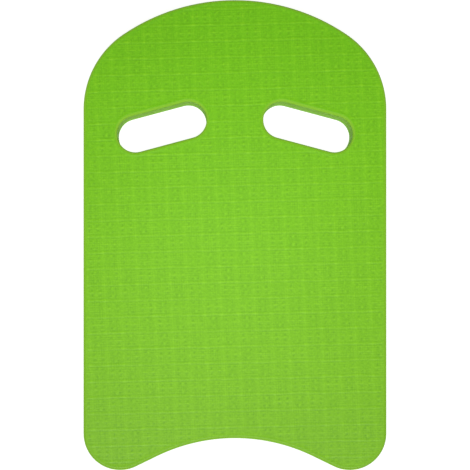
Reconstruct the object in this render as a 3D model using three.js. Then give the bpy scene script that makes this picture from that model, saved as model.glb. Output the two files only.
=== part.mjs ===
// Kickboard: a swimming float with a domed nose, an arched tail and two slanted hand slots.
// It is a stack of closed-cell foam sheets, heat-bonded face to face and die-cut together.
//
// Millimetres. X is the width, Y the length with the nose at +Y, Z the thickness.
// The board lies flat on its back skin. The origin is the middle of its footprint, at the bottom.

import * as THREE from 'three';

// ---- Driving dimensions -------------------------------------------------------------------

const LENGTH = 450;
const WIDTH = 290;

// The foam sheets, from the bottom of the stack to the top. A skin's free face has a soft lip.
const SKIN_THICKNESS = 3;
const CORE_THICKNESS = 8;
const SHEETS = [
  { name: 'back_skin', thickness: SKIN_THICKNESS, lip: 'bottom' },
  { name: 'back_core', thickness: CORE_THICKNESS },
  { name: 'middle_core', thickness: CORE_THICKNESS },
  { name: 'front_core', thickness: CORE_THICKNESS },
  { name: 'front_skin', thickness: SKIN_THICKNESS, lip: 'top' },
];
const LIP_RADIUS = 1.5;

// The nose is a three-centred arch: one broad arc between two tighter shoulder arcs.
const NOSE_RADIUS = 190.5;
const SHOULDER_RADIUS = 86.5;

// The tail is a shallow arch between two round lobes.
const LOBE_RADIUS = 35;
const ARCH_RADIUS = 170.5;
const ARCH_DEPTH = 30.5;

// A hand slot has round ends. Its inner end is tilted towards the nose.
const SLOT_LENGTH = 87.5;
const SLOT_WIDTH = 35;
const SLOT_FROM_CENTRELINE = 70;
const SLOT_FROM_NOSE = 121.5;
const SLOT_TILT = THREE.MathUtils.degToRad(15);

// How finely the curves are divided.
const ARC_STEPS = 32;
const SLOT_END_STEPS = 24;
const LIP_STEPS = 3;

// ---- Foam -----------------------------------------------------------------------------------

const FOAM_GREEN = 0x7fc424;

function foam() {
  return new THREE.MeshStandardMaterial({ color: FOAM_GREEN, roughness: 0.6, metalness: 0 });
}

// ---- Outlines -------------------------------------------------------------------------------

// Points along an arc, both ends included. The sweep is positive anticlockwise.
function arc(centre, radius, startAngle, sweep, steps) {
  const points = [];
  for (let i = 0; i <= steps; i += 1) {
    const angle = startAngle + (sweep * i) / steps;
    const spoke = new THREE.Vector2(Math.cos(angle), Math.sin(angle));
    points.push(spoke.multiplyScalar(radius).add(centre));
  }
  return points;
}

// The same points on the other side of the centreline, in the order that keeps the direction.
function mirrored(points) {
  return points.map((point) => new THREE.Vector2(-point.x, point.y)).reverse();
}

// Right half of the nose, from the straight side up to the tip on the centreline.
// Both arcs are tangent to what they meet, so their centres and the join are in line.
function noseHalf(inset) {
  const shoulderX = WIDTH / 2 - SHOULDER_RADIUS;
  const noseCentreY = LENGTH / 2 - NOSE_RADIUS;
  const centresApart = NOSE_RADIUS - SHOULDER_RADIUS;
  const rise = Math.sqrt(centresApart ** 2 - shoulderX ** 2);
  const joinAngle = Math.atan2(rise, shoulderX);

  const shoulderCentre = new THREE.Vector2(shoulderX, noseCentreY + rise);
  const noseCentre = new THREE.Vector2(0, noseCentreY);
  const toTip = Math.PI / 2 - joinAngle;
  const shoulder = arc(shoulderCentre, SHOULDER_RADIUS - inset, 0, joinAngle, ARC_STEPS);
  const nose = arc(noseCentre, NOSE_RADIUS - inset, joinAngle, toTip, ARC_STEPS / 2);
  return [...shoulder, ...nose.slice(1)];
}

// Right half of the tail, from the middle of the arch round the lobe to the straight side.
// A straight flank, tangent to both, joins the hollow arch to the lobe.
function tailHalf(inset) {
  const lobeCentre = new THREE.Vector2(WIDTH / 2 - LOBE_RADIUS, LOBE_RADIUS - LENGTH / 2);
  const archCentre = new THREE.Vector2(0, ARCH_DEPTH - ARCH_RADIUS - LENGTH / 2);
  const toLobe = lobeCentre.clone().sub(archCentre);
  const lean = Math.acos((ARCH_RADIUS + LOBE_RADIUS) / toLobe.length());
  const joinAngle = toLobe.angle() + lean;

  const toJoin = joinAngle - Math.PI / 2;
  const roundLobe = Math.PI - joinAngle;
  const arch = arc(archCentre, ARCH_RADIUS + inset, Math.PI / 2, toJoin, ARC_STEPS / 2);
  const lobe = arc(lobeCentre, LOBE_RADIUS - inset, joinAngle + Math.PI, roundLobe, ARC_STEPS);
  return [...arch, ...lobe];
}

// The whole outline, anticlockwise, moved inwards by inset.
function boardOutline(inset) {
  const nose = noseHalf(inset);
  const tail = tailHalf(inset);
  return [...nose, ...mirrored(nose).slice(1), ...mirrored(tail), ...tail.slice(1)];
}

// One hand slot, clockwise. side is +1 for the right slot and -1 for the left one.
// An inset board has a wider slot, because the foam retreats from both sides.
function slotOutline(side, inset) {
  const radius = SLOT_WIDTH / 2 + inset;
  const endOffset = (SLOT_LENGTH - SLOT_WIDTH) / 2;
  const rightEnd = arc(new THREE.Vector2(endOffset, 0), radius, Math.PI / 2, -Math.PI, SLOT_END_STEPS);
  const leftEnd = rightEnd.map((point) => point.clone().negate());

  const middle = new THREE.Vector2(side * SLOT_FROM_CENTRELINE, LENGTH / 2 - SLOT_FROM_NOSE);
  const origin = new THREE.Vector2();
  return [...rightEnd, ...leftEnd].map((point) => point.rotateAround(origin, -side * SLOT_TILT).add(middle));
}

// All the edges of a sheet at one height: the outline, then the two slots.
function edges(inset) {
  return [boardOutline(inset), slotOutline(-1, inset), slotOutline(1, inset)];
}

// ---- Sheets ---------------------------------------------------------------------------------

// A sheet's levels, from the bottom up: each is a height and how far the edges move in there.
function sheetLevels({ thickness, lip }) {
  if (!lip) {
    return [{ z: 0, inset: 0 }, { z: thickness, inset: 0 }];
  }
  const levels = [{ z: 0, inset: 0 }];
  for (let i = 0; i <= LIP_STEPS; i += 1) {
    const angle = (Math.PI / 2) * (i / LIP_STEPS);
    const z = thickness - LIP_RADIUS * (1 - Math.sin(angle));
    levels.push({ z, inset: LIP_RADIUS * (1 - Math.cos(angle)) });
  }
  if (lip === 'bottom') {
    return levels.map(({ z, inset }) => ({ z: thickness - z, inset })).reverse();
  }
  return levels;
}

// A closed solid through the levels. Every level has the same number of points, so the walls
// join point to point; the first and last levels are closed with flat caps.
function sheetGeometry(levels) {
  const positions = [];
  const triangles = [];
  const contours = levels.map(({ inset }) => edges(inset));
  const pointsPerLevel = contours[0].flat().length;

  levels.forEach(({ z }, level) => {
    contours[level].flat().forEach((point) => positions.push(point.x, point.y, z));
  });

  for (let level = 0; level + 1 < levels.length; level += 1) {
    let first = level * pointsPerLevel;
    for (const contour of contours[level]) {
      for (let i = 0; i < contour.length; i += 1) {
        const here = first + i;
        const next = first + ((i + 1) % contour.length);
        triangles.push(here, next, next + pointsPerLevel);
        triangles.push(here, next + pointsPerLevel, here + pointsPerLevel);
      }
      first += contour.length;
    }
  }

  const addCap = (level, facesUp) => {
    const [outline, ...slots] = contours[level];
    const first = level * pointsPerLevel;
    for (const [a, b, c] of THREE.ShapeUtils.triangulateShape(outline, slots)) {
      const corners = facesUp ? [a, b, c] : [a, c, b];
      triangles.push(...corners.map((corner) => first + corner));
    }
  };
  addCap(0, false);
  addCap(levels.length - 1, true);

  const geometry = new THREE.BufferGeometry();
  geometry.setAttribute('position', new THREE.Float32BufferAttribute(positions, 3));
  geometry.setIndex(triangles);
  geometry.computeVertexNormals();
  return geometry;
}

// ---- The board ------------------------------------------------------------------------------

function buildKickboard() {
  const board = new THREE.Group();
  board.name = 'kickboard';
  let height = 0;
  for (const sheet of SHEETS) {
    const mesh = new THREE.Mesh(sheetGeometry(sheetLevels(sheet)), foam());
    mesh.name = sheet.name;
    mesh.position.z = height;
    board.add(mesh);
    height += sheet.thickness;
  }
  return board;
}

export default buildKickboard();
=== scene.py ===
"""The looks of a foam kickboard: five foam sheets, bonded face to face and die-cut together.

Each CAD sheet is replaced by a finer mesh, built on the edges that the CAD sheets share. The two
skins get a soft lip and a pressed weave, and the cores get cut walls that draw in at the bonds.
Lengths are in metres, in the frame of the CAD model.
"""

import math
from typing import NamedTuple

import bmesh
import bpy
import numpy as np
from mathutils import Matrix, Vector, kdtree, noise


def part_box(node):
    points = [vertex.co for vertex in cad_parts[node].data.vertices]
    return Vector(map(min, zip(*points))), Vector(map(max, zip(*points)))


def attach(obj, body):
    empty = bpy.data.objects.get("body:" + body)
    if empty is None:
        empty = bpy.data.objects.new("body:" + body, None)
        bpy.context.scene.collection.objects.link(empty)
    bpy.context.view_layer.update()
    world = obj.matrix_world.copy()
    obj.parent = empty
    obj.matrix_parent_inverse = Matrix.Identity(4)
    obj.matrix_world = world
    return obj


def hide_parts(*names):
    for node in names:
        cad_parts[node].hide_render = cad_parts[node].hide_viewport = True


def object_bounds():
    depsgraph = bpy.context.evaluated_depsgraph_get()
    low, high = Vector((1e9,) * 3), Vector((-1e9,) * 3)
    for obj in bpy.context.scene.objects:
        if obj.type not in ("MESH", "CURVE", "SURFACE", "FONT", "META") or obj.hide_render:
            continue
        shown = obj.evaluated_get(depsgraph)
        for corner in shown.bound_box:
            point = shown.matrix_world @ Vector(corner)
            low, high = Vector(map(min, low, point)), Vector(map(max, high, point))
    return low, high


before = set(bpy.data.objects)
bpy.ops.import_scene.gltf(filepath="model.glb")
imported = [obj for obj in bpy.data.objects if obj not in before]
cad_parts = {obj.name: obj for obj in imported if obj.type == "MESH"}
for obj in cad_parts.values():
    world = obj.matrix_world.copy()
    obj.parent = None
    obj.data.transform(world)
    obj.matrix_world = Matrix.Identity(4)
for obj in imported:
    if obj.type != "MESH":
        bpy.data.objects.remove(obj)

MM = 0.001

# ---- The pattern pressed into both faces --------------------------------------------------------


class Rows(NamedTuple):
    """Evenly spaced lines that part a face into tiles.

    They run along the board or across it, apart from a small turn. phase, in pitches, is how far
    they are shifted from the middle of the board. mesh_lines are the shares of a pitch where the
    mesh is cut: the lines themselves, and the crests and hollows of the tiles.
    """

    along_board: bool
    pitch: float
    turn: float
    phase: float
    mesh_lines: tuple
    threads: float  # contrast of the fine threads that run with the rows, in the material

    def direction(self):
        """The unit vector that counts the rows."""
        if self.along_board:
            return Vector((math.cos(self.turn), math.sin(self.turn), 0))
        return Vector((-math.sin(self.turn), math.cos(self.turn), 0))

    def spacing(self):
        """The distance between neighbouring rows, at right angles to them."""
        return self.pitch * math.cos(self.turn)

    def count(self, points):
        """How many pitches each point is past the first row."""
        return points @ np.array(self.direction().xy) / self.spacing() - self.phase


LONG_ROWS = Rows(
    along_board=True,
    pitch=15.88 * MM,
    turn=math.radians(2.4),
    phase=0.0,
    mesh_lines=(0, 0.07, 0.15, 0.25, 0.34, 0.42, 0.50, 0.58, 0.66, 0.75, 0.85, 0.93),
    threads=0.4,
)
CROSS_ROWS = Rows(
    along_board=False,
    pitch=15.40 * MM,
    turn=math.radians(1.3),
    phase=0.10,
    mesh_lines=(0, 0.045, 0.10, 0.18, 0.26, 0.35, 0.43, 0.50, 0.57, 0.65, 0.74, 0.82, 0.90, 0.955),
    threads=0.6,
)


class Mark(NamedTuple):
    """A soft rise or hollow in a tile, mirrored in both centre lines of the tile.

    across and along are its place, as shares of the tile from a corner. The other sizes are in
    millimetres.
    """

    rise: float
    across: float
    along: float
    half_across: float
    half_along: float

    def heights(self, across, along):
        """Its height at places in a tile."""
        aside = (abs(across - 0.5) - abs(self.across - 0.5)) * LONG_ROWS.pitch
        ahead = (abs(along - 0.5) - abs(self.along - 0.5)) * CROSS_ROWS.pitch
        spread = (aside / self.half_across) ** 2 + (ahead / self.half_along) ** 2
        return self.rise * MM * np.exp(-spread / MM**2)


# The tiles are a plain weave: every tile lies between raised lines with a knot at each corner, and
# the two kinds alternate, one with its ribs along the board and one with its ribs across.
ENDLESS = math.inf
EVERY_TILE = (
    Mark(0.052, 0.0, 0.0, ENDLESS, 0.45),  # the line across the board
    Mark(-0.012, 0.0, 0.10, ENDLESS, 0.70),  # a shallow trough beside it
    Mark(0.022, 0.0, 0.0, 1.20, ENDLESS),  # the line along the board
    Mark(0.065, 0.0, 0.0, 1.90, 0.75),  # the knot where they cross
)
ALONG_TILE = (
    Mark(-0.045, 0.50, 0.095, 5.50, 0.60),  # a trough next to the cross line
    Mark(-0.085, 0.33, 0.26, 1.00, 1.00),  # pits
    Mark(0.065, 0.50, 0.25, 0.70, 1.10),  # upright ribs between the pits
    Mark(-0.035, 0.50, 0.50, 4.50, 1.00),  # a trough through the middle
    Mark(0.060, 0.0, 0.50, 1.40, 1.20),  # a knot at each end of it
)
ACROSS_TILE = (
    Mark(-0.050, 0.25, 0.10, 2.40, 0.60),  # short troughs next to the cross line
    Mark(-0.085, 0.25, 0.34, 1.00, 1.00),  # pits
    Mark(0.080, 0.25, 0.50, 1.80, 0.55),  # level ribs between the pits
    Mark(0.030, 0.25, 0.18, 2.00, 0.60),  # low ribs beyond them
    Mark(0.020, 0.50, 0.50, 1.20, 5.00),  # a low spine up the middle
)
RELIEF = 0.11 * MM  # the height that has the full painted highlight, and the depth the full painted shade
RELIEF_MIDDLE = 1.05  # how strongly the marks are pressed, on the whole
RELIEF_RANGE = 0.70  # and how much more or less in places
RELIEF_NOISE = 60  # the noise scales of the mesh are per metre
LINE_WANDER = 0.50 * MM  # how far a line strays
WANDER_NOISE = 55
UNDULATION = 0.12 * MM  # slow waves of the whole face
UNDULATION_NOISE = 14
THREADS_PER_PITCH = 7

# ---- Edges --------------------------------------------------------------------------------------

LIP_WIDTH = 2.8 * MM
LIP_DROP = 1.6 * MM
LIP_STEPS = 6
LIP_CUT_STEPS = 5  # the last of them show the die-cut foam
PRESSED_RIM = 2.0 * MM  # the pattern fades out this far from the lip
BOND_ROUND = 0.35 * MM  # a sheet's cut edge rounds in a little at a bond
WALL_HOLLOW = 0.15 * MM  # a cut wall draws in between its two bonds
WALL_STRAY = 0.12 * MM  # unevenness that the cutting die leaves
STRAY_SLOW_NOISE = 28
STRAY_QUICK_NOISE = 110
STRAY_QUICK_SHARE = 0.35  # of the slow unevenness
WALL_STEP = 4 * MM  # the longest step along an edge
SHARP_ANGLE = math.radians(60)

# ---- Camera -------------------------------------------------------------------------------------

CAMERA_DISTANCE = 1.12  # above the front face
CAMERA_SIDE = -0.037
CAMERA_TAILWARD = -0.041
VIEW_WIDTH = 0.4494  # of the front face
SENSOR_WIDTH = 36.0

# ---- Light and colours --------------------------------------------------------------------------

HORIZON_STRENGTH = 1.0
CEILING_STRENGTH = 0.05
HORIZON_RISE = 0.1  # up to this share of the way overhead the room is fully bright
CEILING_RISE = 0.5  # and from here on it is dim
OVERHEAD_HEIGHT = 0.5
OVERHEAD_SIZE = 0.3
OVERHEAD_POWER = 1.62
WINDOW_TILT = math.radians(34)  # from overhead towards the tail
WINDOW_SWING = -0.06  # how much further left than tailwards the window stands
WINDOW_SPREAD = math.radians(30)  # the angle that it fills, as seen from the board
WINDOW_STRENGTH = 1.6
FLOOR_GLOW = 0.9
FLOOR_HALF_WIDTH = 10.0

FACE_ROUGHNESS = 0.46
FACE_SPECULAR = 0.60
CUT_ROUGHNESS = 0.75
CUT_SPECULAR = 0.20
TAIL_LIGHT_TINT_REACH = 0.21  # the painted light tint changes between this far nosewards and this far tailwards
NOSE_GREEN = (0.141, 0.470, 0.001, 1.0)
TAIL_LIT_GREEN = (0.191, 0.475, 0.001, 1.0)
# DARK_GREEN is also the painted shade in hollows and pores, and PALE_GREEN the painted highlight on
# raised places.
DARK_GREEN = (0.110, 0.340, 0.001, 1.0)
PALE_GREEN = (0.260, 0.620, 0.010, 1.0)
CUT_GREEN = (0.210, 0.452, 0.025, 1.0)
WHITE = (1.0, 1.0, 1.0, 1.0)
FLOOR_GREY = (0.35, 0.35, 0.35, 1.0)
MOTTLE_SHADE = 0.15  # these are the greatest shares of pale or dark green in the mix
# the raised and sunk shares are a painted highlight and painted shade that follow the pressed
# height
RAISED_PAINTED_HIGHLIGHT = 0.60
SUNK_PAINTED_SHADE = 0.80
THREAD_TONE = 0.32
GRAIN_TONE = 0.22
PORE_PAINTED_SHADE = 0.60


# ---- Edge loops ---------------------------------------------------------------------------------


def signed_area(loop):
    """The area inside a loop, which is positive where the loop runs anticlockwise."""
    x, y = loop[:, 0], loop[:, 1]
    return 0.5 * float(np.sum(x * np.roll(y, -1) - np.roll(x, -1) * y))


def with_short_steps(loop):
    """The loop with its long straight stretches divided."""
    points = []
    for here, there in zip(loop, np.roll(loop, -1, axis=0)):
        steps = max(1, math.ceil(np.linalg.norm(there - here) / WALL_STEP))
        points += [here + (there - here) * i / steps for i in range(steps)]
    return np.array(points)


def top_rim_neighbours(bm, top):
    """For each vertex on a rim of the faces at height top, its two neighbours on that rim."""
    level = {f for f in bm.faces if all(abs(v.co.z - top) < 0.01 * MM for v in f.verts)}
    neighbours = {}
    for edge in bm.edges:
        if sum(face in level for face in edge.link_faces) == 1:
            first, second = edge.verts
            neighbours.setdefault(first, []).append(second)
            neighbours.setdefault(second, []).append(first)
    return neighbours


def walked_loops(neighbours):
    """The closed loops that the neighbours make, each as an array of points in plan."""
    loops = []
    while neighbours:
        start = here = next(iter(neighbours))
        points = []
        while here in neighbours:
            points.append((here.co.x, here.co.y))
            onward = [vert for vert in neighbours.pop(here) if vert in neighbours]
            here = onward[0] if onward else start
        loops.append(np.array(points))
    return loops


def cad_edge_loops(node):
    """The rims of a CAD sheet's upper face in plan, the outline first and then the slots.

    The outline runs anticlockwise and the slots clockwise, so the foam is always on the left.
    """
    bm = bmesh.new()
    bm.from_mesh(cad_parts[node].data)
    bmesh.ops.remove_doubles(bm, verts=bm.verts, dist=0.001 * MM)
    loops = walked_loops(top_rim_neighbours(bm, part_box(node)[1].z))
    bm.free()
    outline, *slots = sorted(loops, key=lambda loop: -abs(signed_area(loop)))
    turned = [outline if signed_area(outline) > 0 else outline[::-1]]
    turned += [slot if signed_area(slot) < 0 else slot[::-1] for slot in slots]
    return [with_short_steps(loop) for loop in turned]


def outward(loop):
    """At each point of a loop, the unit vector in plan that points out of the foam."""
    run = np.roll(loop, -1, axis=0) - loop
    run /= np.linalg.norm(run, axis=1)[:, None]
    run = run + np.roll(run, 1, axis=0)
    run /= np.linalg.norm(run, axis=1)[:, None]
    return np.stack([run[:, 1], -run[:, 0]], axis=1)


def inset_loops(inset):
    """All the edge loops, moved into the foam by inset."""
    return [loop - outward(loop) * inset for loop in EDGE_LOOPS]


def die_stray(x, y, z):
    """How far the cut wall strays from the edge at a point, in or out."""
    slow = noise.noise(Vector((x, y, z * 4)) * STRAY_SLOW_NOISE)
    quick = noise.noise(Vector((x, y, z * 2)) * STRAY_QUICK_NOISE)
    return WALL_STRAY * (slow + STRAY_QUICK_SHARE * quick)


# ---- Meshes -------------------------------------------------------------------------------------


def finished_object(name, bm):
    """An object with the finished mesh, smooth except where a face turns sharply."""
    bmesh.ops.recalc_face_normals(bm, faces=bm.faces)
    for face in bm.faces:
        face.smooth = True
    for edge in bm.edges:
        edge.smooth = edge.calc_face_angle(0) < SHARP_ANGLE
    mesh = bpy.data.meshes.new(name)
    bm.to_mesh(mesh)
    bm.free()
    piece = bpy.data.objects.new(name, mesh)
    bpy.context.scene.collection.objects.link(piece)
    return piece


def add_wall(bm, edges, lower, upper, material_index):
    """Quads between two rings of vertices, which are dicts with the same keys."""
    for a, b in edges:
        face = bm.faces.new((lower[a], lower[b], upper[b], upper[a]))
        face.material_index = material_index


def core_profile(bottom, top):
    """Heights and insets up the cut wall of a core: rounded at the bonds, drawn in between."""
    profile = []
    for share in (0.0, 0.3, 1.0):
        profile.append((bottom + BOND_ROUND * share, BOND_ROUND * (1 - share) ** 2))
    for share in (0.2, 0.35, 0.5, 0.65, 0.8):
        hollow = WALL_HOLLOW * math.sin(math.pi * share)
        profile.append((bottom + (top - bottom) * share, hollow))
    for share in (1.0, 0.3, 0.0):
        profile.append((top - BOND_ROUND * share, BOND_ROUND * (1 - share) ** 2))
    return profile


def build_core(node, name):
    """A plain foam sheet: level faces, which are bonded to its neighbours, and a cut wall."""
    low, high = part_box(node)
    bm = bmesh.new()
    rings = []
    for z, inset in core_profile(low.z, high.z):
        ring = []
        for loop, out in zip(inset_loops(inset), LOOP_NORMALS):
            points = []
            for (x, y), (nx, ny) in zip(loop, out):
                stray = die_stray(x, y, z)
                points.append(bm.verts.new((x + nx * stray, y + ny * stray, z)))
            ring.append(points)
        rings.append(ring)
    for lower, upper in zip(rings, rings[1:]):
        for below, above in zip(lower, upper):
            for i in range(len(below)):
                j = (i + 1) % len(below)
                bm.faces.new((below[i], below[j], above[j], above[i]))
    for ring in (rings[0], rings[-1]):
        rim = [bm.edges.get((loop[i - 1], loop[i])) for loop in ring for i in range(len(loop))]
        bmesh.ops.triangle_fill(bm, edges=rim, use_beauty=True)
    return finished_object(name, bm)


def filled_face(loops):
    """A bmesh with one level face inside the loops, at height 0."""
    bm = bmesh.new()
    rim = []
    for loop in loops:
        verts = [bm.verts.new((x, y, 0)) for x, y in loop]
        rim += [bm.edges.new((verts[i - 1], verts[i])) for i in range(len(verts))]
    bmesh.ops.triangle_fill(bm, edges=rim, use_beauty=True)
    return bm


def cut_along(bm, direction, offsets):
    """Cuts the level face along parallel lines, given by their distances along direction.

    The cuts go in order, and each works only on what lies beyond the one before.
    """
    geometry = bm.verts[:] + bm.edges[:] + bm.faces[:]
    for offset in offsets:
        cut = bmesh.ops.bisect_plane(
            bm, geom=geometry, dist=0.01 * MM, plane_co=direction * offset, plane_no=direction
        )
        for item in cut["geom_cut"]:
            if isinstance(item, bmesh.types.BMEdge):
                item.seam = True
        beyond = [
            item
            for item in cut["geom"]
            if isinstance(item, bmesh.types.BMFace)
            and item.calc_center_median().dot(direction) > offset
        ]
        edges = dict.fromkeys(edge for face in beyond for edge in face.edges)
        verts = dict.fromkeys(vert for face in beyond for vert in face.verts)
        geometry = [*verts, *edges, *beyond]


def mesh_line_offsets(rows, reach):
    """Distances of the mesh lines from the middle of the board, in order."""
    last = math.ceil(reach / rows.pitch) + 1
    counts = [whole + share for whole in range(-last, last) for share in rows.mesh_lines]
    offsets = [(count + rows.phase) * rows.spacing() for count in counts]
    return [offset for offset in offsets if abs(offset) < reach]


def join_filled_pieces(bm):
    """Removes the edges that the fill made inside the face."""
    spare = [edge for edge in bm.edges if not edge.seam and not edge.is_boundary]
    bmesh.ops.dissolve_edges(bm, edges=spare, use_verts=False)
    passed = [v for v in bm.verts if len(v.link_edges) == 2 and not v.is_boundary]
    bmesh.ops.dissolve_verts(bm, verts=passed)


def gridded_face(loops):
    """The level face inside the loops, divided along the rows' mesh lines.

    The face is first parted through each slot, so that no piece of it has a hole.
    """
    bm = filled_face(loops)
    bm.verts.layers.float.new("relief")
    cut_along(bm, Vector((1, 0, 0)), sorted(float(loop[:, 0].mean()) for loop in loops[1:]))
    join_filled_pieces(bm)
    reach = max(float(np.abs(loop).max()) for loop in loops) * 1.1
    for rows in (LONG_ROWS, CROSS_ROWS):
        cut_along(bm, rows.direction(), mesh_line_offsets(rows, reach))
    return bm


def pressed_heights(points):
    """Heights of the pressed pattern at places in plan."""
    across = LONG_ROWS.count(points)
    along = CROSS_ROWS.count(points)
    runs_across = (np.floor(across) + np.floor(along)) % 2 == 1
    place = (across % 1, along % 1)
    shared, on_along, on_across = (
        sum(mark.heights(*place) for mark in marks)
        for marks in (EVERY_TILE, ALONG_TILE, ACROSS_TILE)
    )
    return shared + np.where(runs_across, on_across, on_along)


def rim_fade(bm):
    """For each vertex, 0 on the rim and 1 where the pattern has its full height."""
    rim = [vert for vert in bm.verts if vert.is_boundary]
    tree = kdtree.KDTree(len(rim))
    for i, vert in enumerate(rim):
        tree.insert(vert.co, i)
    tree.balance()
    shares = (min(tree.find(vert.co)[2] / PRESSED_RIM, 1.0) for vert in bm.verts)
    return [share * share * (3 - 2 * share) for share in shares]


def press_pattern(bm, top, seed):
    """Presses the pattern into a level face, so that its highest knot reaches top.

    Each height is kept for the painted highlight and shade. Returns the height of the face's rim.
    """
    fades = rim_fade(bm)
    places = [Vector((*vert.co.xy, seed)) for vert in bm.verts]
    swings = np.array([noise.noise(place * RELIEF_NOISE) for place in places])
    strengths = (RELIEF_MIDDLE + RELIEF_RANGE * swings) * np.array(fades)
    points = np.array([vert.co.xy for vert in bm.verts])
    heights = (pressed_heights(points) * strengths).tolist()
    level = top - max(heights)
    relief = bm.verts.layers.float["relief"]
    for vert, place, height, fade in zip(bm.verts, places, heights, fades):
        aside = noise.noise(place * WANDER_NOISE)
        ahead = noise.noise(place * WANDER_NOISE + Vector((0, 0, 4)))
        swell = noise.noise(place * UNDULATION_NOISE) - 1
        vert[relief] = height / RELIEF
        vert.co.x += fade * LINE_WANDER * aside
        vert.co.y += fade * LINE_WANDER * ahead
        vert.co.z = level + height + fade * UNDULATION * swell
    return level


def places_on_rim(verts):
    """For each rim vertex: its loop, the step of the loop that it lies on, and how far along."""
    places = []
    starts = inset_loops(LIP_WIDTH)
    for vert in verts:
        point = np.array(vert.co.xy)
        best = None
        for which, loop in enumerate(starts):
            run = np.roll(loop, -1, axis=0) - loop
            along = np.einsum("ij,ij->i", point - loop, run) / np.einsum("ij,ij->i", run, run)
            along = np.clip(along, 0, 1)
            gap = np.linalg.norm(loop + run * along[:, None] - point, axis=1)
            step = int(gap.argmin())
            if best is None or gap[step] < best[0]:
                best = (gap[step], which, step, along[step])
        places.append(best[1:])
    return places


def rim_point(loops, place):
    """The point of the loops at a place that places_on_rim gave."""
    which, step, along = place
    loop = loops[which]
    return loop[step] * (1 - along) + loop[(step + 1) % len(loop)] * along


def skin_profile(level):
    """Heights and insets down the lip and the cut wall of a skin, from the rim of its free face."""
    profile = []
    for i in range(1, LIP_STEPS + 1):
        angle = math.pi / 2 * i / LIP_STEPS
        height = level - LIP_DROP * (1 - math.cos(angle))
        profile.append((height, LIP_WIDTH * (1 - math.sin(angle))))
    profile.append((BOND_ROUND, 0.0))
    profile.append((BOND_ROUND * 0.3, BOND_ROUND * 0.5))
    profile.append((0.0, BOND_ROUND))
    return profile


def build_skin(node, name, side, seed):
    """A skin: the pressed pattern on its free face, a soft lip, a cut wall and a bonded face.

    side is +1 where the free face looks up and -1 where it looks down.
    """
    low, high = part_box(node)
    bonded = low.z if side > 0 else high.z
    bm = GRIDDED_FACE.copy()
    rim_edges = [tuple(edge.verts) for edge in bm.edges if edge.is_boundary]
    rim = list(dict.fromkeys(vert for edge in rim_edges for vert in edge))
    places = places_on_rim(rim)
    level = press_pattern(bm, high.z - low.z, seed)

    above = {vert: vert for vert in rim}
    for step, (height, inset) in enumerate(skin_profile(level)):
        loops = inset_loops(inset)
        below = {}
        for vert, place in zip(rim, places):
            x, y = rim_point(loops, place)
            below[vert] = bm.verts.new((x, y, height))
        on_cut = step >= LIP_STEPS - LIP_CUT_STEPS
        add_wall(bm, rim_edges, below, above, material_index=1 if on_cut else 0)
        above = below
    bonded_rim = [bm.edges.get((above[a], above[b])) for a, b in rim_edges]
    bmesh.ops.triangle_fill(bm, edges=bonded_rim, use_beauty=True)
    for vert in bm.verts:
        vert.co.z = bonded + side * vert.co.z
    return finished_object(name, bm)


# ---- Materials ----------------------------------------------------------------------------------


def add_node(tree, kind, inputs=None, **settings):
    """A shader node. inputs gives socket values by name, or the sockets to link to them."""
    node = tree.nodes.new(kind)
    for name, value in settings.items():
        setattr(node, name, value)
    for name, value in (inputs or {}).items():
        if isinstance(value, bpy.types.NodeSocket):
            tree.links.new(value, node.inputs[name])
        else:
            node.inputs[name].default_value = value
    return node


def new_material(name, roughness, specular):
    material = bpy.data.materials.new(name)
    material.use_nodes = True
    shader = material.node_tree.nodes["Principled BSDF"]
    shader.inputs["Roughness"].default_value = roughness
    shader.inputs["Specular IOR Level"].default_value = specular
    return material, material.node_tree, shader


def board_coordinates(tree):
    return add_node(tree, "ShaderNodeTexCoord").outputs["Object"]


def noise_texture(tree, vector, scale, detail):
    inputs = {"Vector": vector, "Scale": scale, "Detail": detail}
    return add_node(tree, "ShaderNodeTexNoise", inputs).outputs["Fac"]


def ranged(tree, value, low, high, to_low, to_high):
    """The value, with low to high stretched over to_low to to_high and cut off at both."""
    inputs = {
        "Value": value,
        "From Min": low,
        "From Max": high,
        "To Min": to_low,
        "To Max": to_high,
    }
    return add_node(tree, "ShaderNodeMapRange", inputs).outputs["Result"]


def mixed(tree, factor, first, second):
    """A mix of two colours, each given as a value or as a socket."""
    node = add_node(tree, "ShaderNodeMix", data_type="RGBA")
    tree.links.new(factor, node.inputs["Factor"])
    colours = [socket for socket in node.inputs if socket.type == "RGBA"]
    for socket, value in zip(colours, (first, second)):
        if isinstance(value, bpy.types.NodeSocket):
            tree.links.new(value, socket)
        else:
            socket.default_value = value
    return next(socket for socket in node.outputs if socket.type == "RGBA")


def bumped(tree, height, strength, distance, normal=None):
    inputs = {"Height": height, "Strength": strength, "Distance": distance}
    if normal is not None:
        inputs["Normal"] = normal
    return add_node(tree, "ShaderNodeBump", inputs).outputs["Normal"]


def threads(tree, where, rows, seed):
    """Fine even threads that run with a set of rows, and come and go in patches."""
    per_metre = rows.direction() * (2 * math.pi * THREADS_PER_PITCH / rows.pitch)
    inputs = {0: where, 1: per_metre}
    count = add_node(tree, "ShaderNodeVectorMath", inputs, operation="DOT_PRODUCT")
    wave = add_node(tree, "ShaderNodeMath", {0: count.outputs["Value"]}, operation="SINE")
    moved = add_node(tree, "ShaderNodeMapping", {"Vector": where, "Location": (0, 0, seed)})
    spread = noise_texture(tree, moved.outputs["Vector"], scale=90, detail=1)
    patches = ranged(tree, spread, 0.40, 0.65, 0, rows.threads)
    inputs = {0: wave.outputs["Value"], 1: patches}
    return add_node(tree, "ShaderNodeMath", inputs, operation="MULTIPLY").outputs["Value"]


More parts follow.
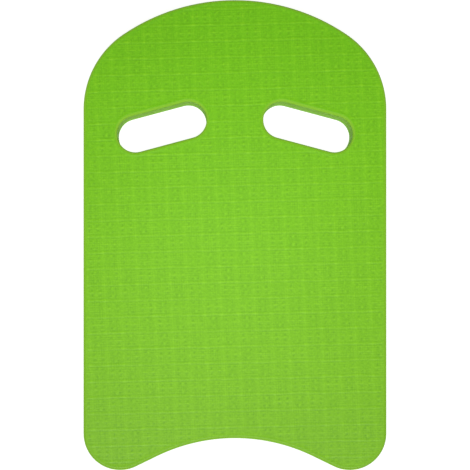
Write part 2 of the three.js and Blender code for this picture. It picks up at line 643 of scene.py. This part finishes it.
def face_foam():
    """The skins' moulded foam, with painted light: a tint to the tail, highlight and shade on the
    relief.
    """
    material, tree, shader = new_material("face_foam", FACE_ROUGHNESS, FACE_SPECULAR)
    where = board_coordinates(tree)
    along = add_node(tree, "ShaderNodeSeparateXYZ", {"Vector": where}).outputs["Y"]
    # Painted light: the green is tinted yellower toward the tail, the side the window lights.
    tailwards = ranged(tree, along, TAIL_LIGHT_TINT_REACH, -TAIL_LIGHT_TINT_REACH, 0, 1)
    green = mixed(tree, tailwards, NOSE_GREEN, TAIL_LIT_GREEN)
    mottle = noise_texture(tree, where, scale=14, detail=4)
    green = mixed(tree, ranged(tree, mottle, 0.5, 0.8, 0, MOTTLE_SHADE), green, DARK_GREEN)
    height = add_node(tree, "ShaderNodeAttribute", attribute_name="relief").outputs["Fac"]
    # Painted highlight where the pattern is raised and painted shade where it is sunk.
    green = mixed(tree, ranged(tree, height, 0, 1, 0, RAISED_PAINTED_HIGHLIGHT), green, PALE_GREEN)
    green = mixed(tree, ranged(tree, height, 0, -1, 0, SUNK_PAINTED_SHADE), green, DARK_GREEN)
    inputs = {i: threads(tree, where, rows, i) for i, rows in enumerate((LONG_ROWS, CROSS_ROWS))}
    thread = add_node(tree, "ShaderNodeMath", inputs, operation="ADD").outputs["Value"]
    green = mixed(tree, ranged(tree, thread, 0.1, 1.0, 0, THREAD_TONE), green, PALE_GREEN)
    green = mixed(tree, ranged(tree, thread, -0.1, -1.0, 0, THREAD_TONE), green, DARK_GREEN)
    grain = noise_texture(tree, where, scale=620, detail=1)
    green = mixed(tree, ranged(tree, grain, 0.5, 0.7, 0, GRAIN_TONE), green, DARK_GREEN)
    green = mixed(tree, ranged(tree, grain, 0.5, 0.3, 0, GRAIN_TONE), green, PALE_GREEN)
    tree.links.new(green, shader.inputs["Base Color"])
    normal = bumped(tree, thread, strength=0.4, distance=0.04 * MM)
    normal = bumped(tree, grain, strength=0.3, distance=0.15 * MM, normal=normal)
    tree.links.new(normal, shader.inputs["Normal"])
    return material


def cut_foam():
    """The die-cut walls: open cells with painted shade in them, and faint upright drag marks from
    the die.
    """
    material, tree, shader = new_material("cut_foam", CUT_ROUGHNESS, CUT_SPECULAR)
    where = board_coordinates(tree)
    cells = add_node(tree, "ShaderNodeTexVoronoi", {"Vector": where, "Scale": 1300})
    pores = ranged(tree, cells.outputs["Distance"], 0.0, 0.5, 1, 0)
    # Painted shade: the open cells are mixed toward dark green.
    green = mixed(tree, ranged(tree, pores, 0.2, 1.0, 0, PORE_PAINTED_SHADE), CUT_GREEN, DARK_GREEN)
    tree.links.new(green, shader.inputs["Base Color"])
    upright = add_node(tree, "ShaderNodeMapping", {"Vector": where, "Scale": (1, 1, 0.08)})
    drag = noise_texture(tree, upright.outputs["Vector"], scale=500, detail=3)
    normal = bumped(tree, drag, strength=0.3, distance=0.2 * MM)
    normal = bumped(tree, pores, strength=0.5, distance=0.15 * MM, normal=normal)
    tree.links.new(normal, shader.inputs["Normal"])
    return material


def white_floor():
    """A lit white table: mostly its own light, so that it stays white inside the slots."""
    material, tree, shader = new_material("white_floor", roughness=0.9, specular=0.0)
    shader.inputs["Base Color"].default_value = FLOOR_GREY
    shader.inputs["Emission Color"].default_value = WHITE
    shader.inputs["Emission Strength"].default_value = FLOOR_GLOW
    return material


# ---- Stage --------------------------------------------------------------------------------------


def make_floor():
    half = FLOOR_HALF_WIDTH
    bm = bmesh.new()
    corners = ((-half, -half), (half, -half), (half, half), (-half, half))
    bm.faces.new([bm.verts.new((x, y, 0)) for x, y in corners])
    floor = finished_object("floor", bm)
    floor.location.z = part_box("back_skin")[0].z
    floor.data.materials.append(white_floor())


def white_room():
    """A white surround that is dimmer overhead, where the ceiling is."""
    world = bpy.data.worlds.new("studio")
    world.use_nodes = True
    tree = world.node_tree
    ray = add_node(tree, "ShaderNodeTexCoord").outputs["Generated"]
    height = add_node(tree, "ShaderNodeSeparateXYZ", {"Vector": ray}).outputs["Z"]
    rises = (HORIZON_RISE, CEILING_RISE)
    strength = ranged(tree, height, *rises, HORIZON_STRENGTH, CEILING_STRENGTH)
    tree.links.new(strength, tree.nodes["Background"].inputs["Strength"])
    tree.nodes["Background"].inputs["Color"].default_value = WHITE
    return world


def add_lamp(name, kind, towards, energy):
    """A lamp that shines at the middle of the board from a place, or from its direction."""
    lamp = bpy.data.lights.new(name, kind)
    lamp.energy = energy
    holder = bpy.data.objects.new(name, lamp)
    holder.location = towards
    holder.rotation_euler = (-towards).to_track_quat("-Z", "Y").to_euler()
    holder.visible_camera = False
    bpy.context.scene.collection.objects.link(holder)
    return holder


def make_lights():
    """The room, a lamp overhead that gives no gloss, and a wide window on the tail side."""
    bpy.context.scene.world = white_room()
    overhead = add_lamp("overhead", "AREA", Vector((0, 0, OVERHEAD_HEIGHT)), OVERHEAD_POWER)
    overhead.data.shape = "SQUARE"
    overhead.data.size = OVERHEAD_SIZE
    overhead.visible_glossy = False
    sideways = math.sin(WINDOW_TILT)
    towards = Vector((WINDOW_SWING * sideways, -sideways, math.cos(WINDOW_TILT)))
    window = add_lamp("window", "SUN", towards, WINDOW_STRENGTH)
    window.data.angle = WINDOW_SPREAD


def make_camera():
    """Looks straight down from a little to the left and tailwards, framed on the board."""
    lens = bpy.data.cameras.new("camera")
    lens.sensor_width = SENSOR_WIDTH
    lens.lens = SENSOR_WIDTH * CAMERA_DISTANCE / VIEW_WIDTH
    lens.shift_x = -CAMERA_SIDE / VIEW_WIDTH
    lens.shift_y = -CAMERA_TAILWARD / VIEW_WIDTH
    camera = bpy.data.objects.new("camera", lens)
    camera.location = (CAMERA_SIDE, CAMERA_TAILWARD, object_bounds()[1].z + CAMERA_DISTANCE)
    bpy.context.scene.collection.objects.link(camera)
    bpy.context.scene.camera = camera
    bpy.context.scene.view_settings.view_transform = "Standard"


# ---- Build --------------------------------------------------------------------------------------


def dress(piece, node, slot, *materials):
    """The piece stands for a CAD node, with its materials, on the board's one body."""
    for material in materials:
        piece.data.materials.append(material)
    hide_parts(node)
    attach(piece, "root")


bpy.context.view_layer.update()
EDGE_LOOPS = cad_edge_loops("middle_core")
LOOP_NORMALS = [outward(loop) for loop in EDGE_LOOPS]
GRIDDED_FACE = gridded_face(inset_loops(LIP_WIDTH))

face_material = face_foam()
cut_material = cut_foam()
for core in ("back_core", "middle_core", "front_core"):
    dress(build_core(core, core + "_foam"), core, "cut_foam", cut_material)
for skin, side, seed in (("front_skin", 1, 0.0), ("back_skin", -1, 20.0)):
    piece = build_skin(skin, skin + "_foam", side, seed)
    dress(piece, skin, "embossed_foam", face_material, cut_material)

make_camera()
make_floor()
make_lights()

bpy.context.view_layer.update()
